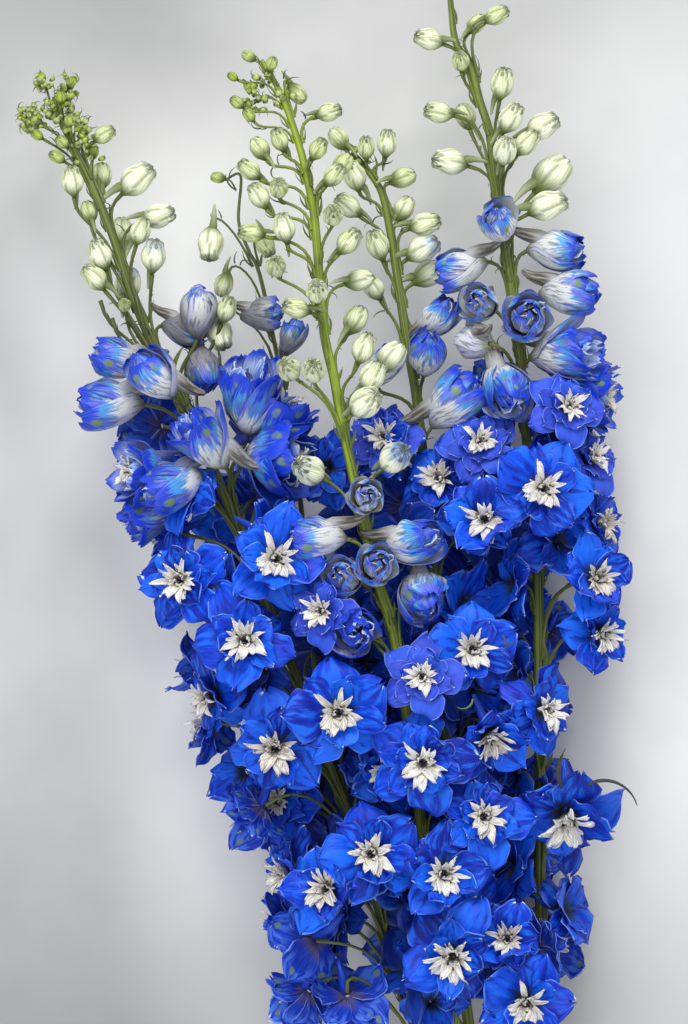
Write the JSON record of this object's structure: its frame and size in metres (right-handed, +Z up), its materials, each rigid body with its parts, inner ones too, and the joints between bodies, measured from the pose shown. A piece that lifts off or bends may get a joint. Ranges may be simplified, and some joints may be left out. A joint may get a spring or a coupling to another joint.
{
  "type": "cut delphinium bunch",
  "caption": "Cut bunch of tall blue delphinium flowering stems with green buds at the tips, tied near the cut ends and lying on its side.",
  "frame": {"origin": "on the surface that the bunch lies on, under the middle of its box", "axes": "+Y along the stems from the cut ends to the tips, +X across the bunch, +Z up from the surface"},
  "size_m": [0.3063, 0.7559, 0.1213],
  "materials": {
    "stem_green": "satin",
    "petal_blue": "matte",
    "twine": "matte"
  },
  "bodies": {
    "root": {"front_florets_1": "petal_blue", "front_florets_2": "petal_blue", "front_florets_3": "petal_blue", "front_florets_4": "petal_blue", "front_florets_5": "petal_blue", "front_florets_6": "petal_blue", "front_stem": "stem_green", "left_florets_1": "petal_blue", "left_florets_10": "petal_blue", "left_florets_11": "petal_blue", "left_florets_12": "petal_blue", "left_florets_13": "petal_blue", "left_florets_14": "petal_blue", "left_florets_15": "petal_blue", "left_florets_16": "petal_blue", "left_florets_17": "petal_blue", "left_florets_18": "petal_blue", "left_florets_2": "petal_blue", "left_florets_3": "petal_blue", "left_florets_4": "petal_blue", "left_florets_5": "petal_blue", "left_florets_6": "petal_blue", "left_florets_7": "petal_blue", "left_florets_8": "petal_blue", "left_florets_9": "petal_blue", "left_stem": "stem_green", "middle_florets_1": "petal_blue", "middle_florets_10": "petal_blue", "middle_florets_2": "petal_blue", "middle_florets_3": "petal_blue", "middle_florets_4": "petal_blue", "middle_florets_5": "petal_blue", "middle_florets_6": "petal_blue", "middle_florets_7": "petal_blue", "middle_florets_8": "petal_blue", "middle_florets_9": "petal_blue", "middle_stem": "stem_green", "right_florets_1": "petal_blue", "right_florets_10": "petal_blue", "right_florets_11": "petal_blue", "right_florets_12": "petal_blue", "right_florets_13": "petal_blue", "right_florets_14": "petal_blue", "right_florets_15": "petal_blue", "right_florets_16": "petal_blue", "right_florets_17": "petal_blue", "right_florets_2": "petal_blue", "right_florets_3": "petal_blue", "right_florets_4": "petal_blue", "right_florets_5": "petal_blue", "right_florets_6": "petal_blue", "right_florets_7": "petal_blue", "right_florets_8": "petal_blue", "right_florets_9": "petal_blue", "right_stem": "stem_green", "tie": "twine"}
  },
  "joints": []
}
